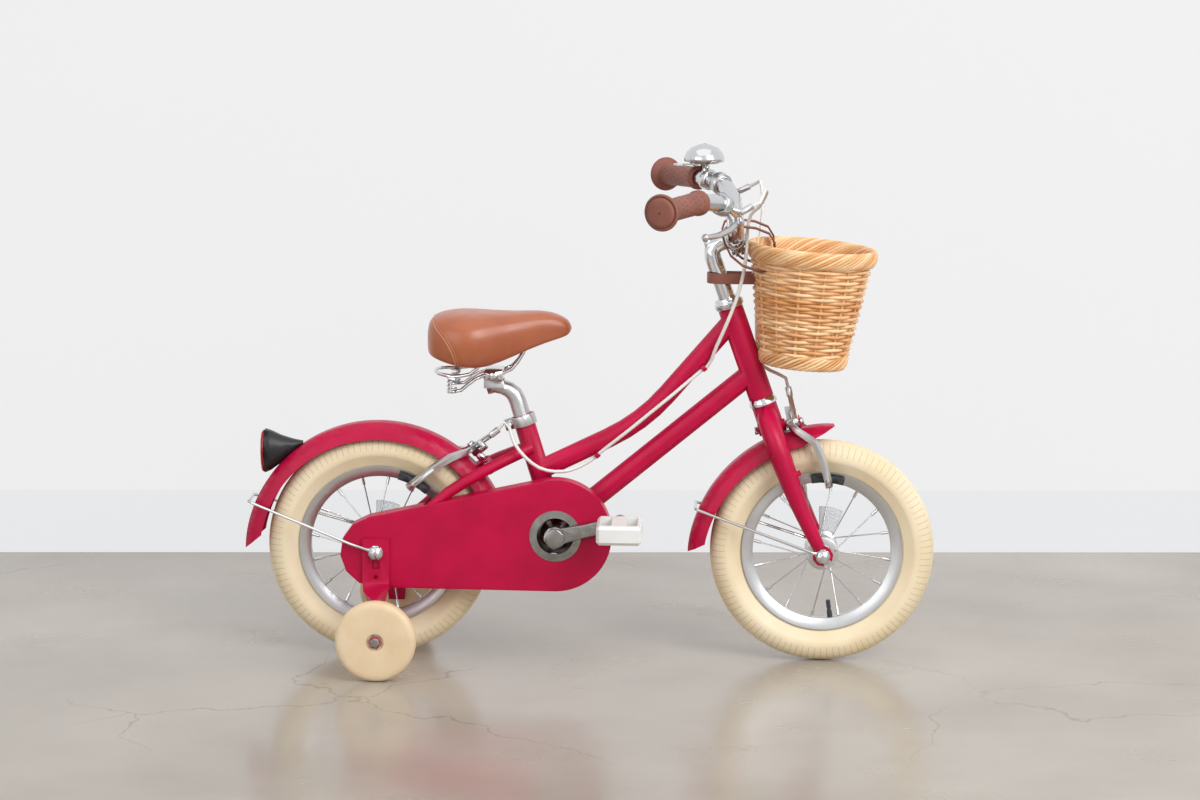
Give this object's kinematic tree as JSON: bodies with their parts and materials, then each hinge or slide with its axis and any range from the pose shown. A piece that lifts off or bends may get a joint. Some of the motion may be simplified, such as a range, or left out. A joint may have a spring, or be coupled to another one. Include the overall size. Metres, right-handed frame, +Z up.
{
  "type": "kids bike",
  "caption": "Child's step-through bicycle with training wheels, a chain case, mudguards, calliper brakes, a sprung saddle, a bell and a wicker basket on the handlebar.",
  "frame": {"origin": "the rear tyre's contact with the ground, in the bike's middle plane", "axes": "+X towards the front wheel, +Y to the rider's left, +Z up"},
  "size_m": [0.9246, 0.584, 0.6812],
  "materials": {
    "cream_rubber": "matte cream rubber",
    "satin_aluminium": "satin",
    "crimson_paint": "satin crimson paint",
    "chrome": "polished",
    "black_plastic": "black, fine grain",
    "red_lens": "clear red, moulded prisms",
    "grey_steel": "grey plated steel",
    "white_plastic": "white",
    "cream_plastic": "cream",
    "tan_leatherette": "tan leatherette",
    "dusty_brown_rubber": "dusty brown, soft",
    "honey_wicker": "honey wicker",
    "clear_reflector": "clear, moulded prisms"
  },
  "bodies": {
    "frame": {"frame": "crimson_paint", "headset_lower_cup": "chrome", "headset_upper_cup": "chrome", "seat_clamp": "satin_aluminium", "bottom_bracket": "grey_steel", "chain_case": "crimson_paint", "chain_case_ring": "grey_steel", "chain": "grey_steel", "rear_mudguard": "crimson_paint", "rear_mudguard_stay": "chrome", "rear_lamp_housing": "black_plastic", "rear_lamp_lens": "red_lens", "rear_axle": "chrome", "training_arm_right": "crimson_paint", "training_arm_left": "crimson_paint", "rear_brake_bolt": "chrome", "rear_brake_cable": "white_plastic"},
    "steering": {"fork": "crimson_paint", "headset_locknut": "chrome", "front_mudguard": "crimson_paint", "front_mudguard_stay": "chrome", "front_axle": "chrome", "front_brake_bolt": "chrome", "stem": "chrome", "handlebar": "chrome", "grip_left": "dusty_brown_rubber", "grip_right": "dusty_brown_rubber", "lever_clamp_left": "satin_aluminium", "lever_clamp_right": "satin_aluminium", "bell": "chrome", "basket": "honey_wicker", "basket_strap_left": "dusty_brown_rubber", "basket_strap_lower": "dusty_brown_rubber", "basket_strap_right": "dusty_brown_rubber", "front_brake_cable": "white_plastic"},
    "front_wheel": {"front_rim": "satin_aluminium", "front_tyre": "cream_rubber", "front_hub": "satin_aluminium", "front_reflector": "clear_reflector"},
    "rear_wheel": {"rear_rim": "satin_aluminium", "rear_tyre": "cream_rubber", "rear_hub": "satin_aluminium", "rear_reflector": "clear_reflector"},
    "freewheel": {"freewheel": "grey_steel"},
    "crank": {"crank_right": "grey_steel", "crank_left": "grey_steel"},
    "pedal_right": {"pedal_right": "white_plastic"},
    "pedal_left": {"pedal_left": "white_plastic"},
    "training_wheel_right": {"training_wheel_right": "cream_plastic"},
    "training_wheel_left": {"training_wheel_left": "cream_plastic"},
    "brake_lever_right": {"brake_lever_right": "satin_aluminium"},
    "brake_lever_left": {"brake_lever_left": "satin_aluminium"},
    "rear_brake_arm_barrel": {"rear_brake_arm_barrel": "satin_aluminium"},
    "rear_brake_arm_anchor": {"rear_brake_arm_anchor": "satin_aluminium"},
    "front_brake_arm_barrel": {"front_brake_arm_barrel": "satin_aluminium"},
    "front_brake_arm_anchor": {"front_brake_arm_anchor": "satin_aluminium"},
    "bell_lever": {"bell_lever": "chrome"},
    "seat": {"seat_post": "satin_aluminium", "saddle": "tan_leatherette", "saddle_frame": "chrome"}
  },
  "joints": [
    {"name": "steer", "type": "hinge", "parent": "frame", "child": "steering", "pos_m": [0.51151, 0, 0.35136], "axis": [-0.3387, 0, 0.9409], "range_deg": [-45, 45], "deforming": ["rear_brake_cable"]},
    {"name": "front_wheel_spin", "type": "hinge", "parent": "steering", "child": "front_wheel", "pos_m": [0.594, 0, 0.15], "axis": [0, 1, 0], "continuous": true},
    {"name": "rear_wheel_spin", "type": "hinge", "parent": "frame", "child": "rear_wheel", "pos_m": [0, 0, 0.15], "axis": [0, 1, 0], "continuous": true},
    {"name": "crank_spin", "type": "hinge", "parent": "frame", "child": "crank", "pos_m": [0.2383, 0, 0.175], "axis": [0, 1, 0], "continuous": true},
    {"name": "freewheel_spin", "type": "hinge", "parent": "frame", "child": "freewheel", "pos_m": [0, 0, 0.15], "axis": [0, 1, 0], "continuous": true},
    {"name": "pedal_right_spin", "type": "hinge", "parent": "crank", "child": "pedal_right", "pos_m": [0.32484, -0.1245, 0.19578], "axis": [0, 1, 0], "continuous": true},
    {"name": "pedal_left_spin", "type": "hinge", "parent": "crank", "child": "pedal_left", "pos_m": [0.15176, 0.107, 0.15422], "axis": [0, 1, 0], "continuous": true},
    {"name": "training_wheel_right_spin", "type": "hinge", "parent": "frame", "child": "training_wheel_right", "pos_m": [0.009, -0.1653, 0.053], "axis": [0, 1, 0], "continuous": true},
    {"name": "training_wheel_left_spin", "type": "hinge", "parent": "frame", "child": "training_wheel_left", "pos_m": [0.009, 0.1653, 0.053], "axis": [0, 1, 0], "continuous": true},
    {"name": "brake_lever_right_pull", "type": "hinge", "parent": "steering", "child": "brake_lever_right", "pos_m": [0.47474, -0.15, 0.60589], "axis": [-0.7678, 0.4923, -0.4099], "range_deg": [0, 16], "stiffness_Nm_per_rad": 1.5, "springref_deg": -20.05},
    {"name": "brake_lever_left_pull", "type": "hinge", "parent": "steering", "child": "brake_lever_left", "pos_m": [0.47474, 0.15, 0.60589], "axis": [0.7678, 0.4923, 0.4099], "range_deg": [0, 16], "stiffness_Nm_per_rad": 1.5, "springref_deg": -20.05},
    {"name": "rear_arm_barrel_close", "type": "hinge", "parent": "frame", "child": "rear_brake_arm_barrel", "pos_m": [0.12748, 0, 0.28059], "axis": [0.6258, 0, -0.78], "range_deg": [0, 1.28], "deforming": ["rear_brake_cable"]},
    {"name": "rear_arm_anchor_close", "type": "hinge", "parent": "frame", "child": "rear_brake_arm_anchor", "pos_m": [0.12748, 0, 0.28059], "axis": [0.6258, 0, -0.78], "range_deg": [-1.28, 0], "deforming": ["rear_brake_cable"]},
    {"name": "front_arm_barrel_close", "type": "hinge", "parent": "steering", "child": "front_brake_arm_barrel", "pos_m": [0.55251, 0, 0.32196], "axis": [-0.973, 0, -0.2308], "range_deg": [0, 1.28], "deforming": ["front_brake_cable"]},
    {"name": "front_arm_anchor_close", "type": "hinge", "parent": "steering", "child": "front_brake_arm_anchor", "pos_m": [0.55251, 0, 0.32196], "axis": [-0.973, 0, -0.2308], "range_deg": [-1.28, 0], "deforming": ["front_brake_cable"]},
    {"name": "bell_lever_push", "type": "hinge", "parent": "steering", "child": "bell_lever", "pos_m": [0.41695, 0.164, 0.65231], "axis": [0, 0, 1], "range_deg": [0, 25], "stiffness_Nm_per_rad": 0.05, "springref_deg": -11.46},
    {"name": "seat_height", "type": "slide", "parent": "frame", "child": "seat", "axis": [-0.3007, 0, 0.9537], "range_m": [-0.009, 0.035]}
  ],
  "couplings": [
    {"joint": "freewheel_spin", "follows": "crank_spin", "ratio": 1.75},
    {"joint": "rear_arm_barrel_close", "follows": "brake_lever_right_pull", "ratio": 0.08},
    {"joint": "rear_arm_anchor_close", "follows": "brake_lever_right_pull", "ratio": -0.08},
    {"joint": "front_arm_barrel_close", "follows": "brake_lever_left_pull", "ratio": 0.08},
    {"joint": "front_arm_anchor_close", "follows": "brake_lever_left_pull", "ratio": -0.08}
  ]
}
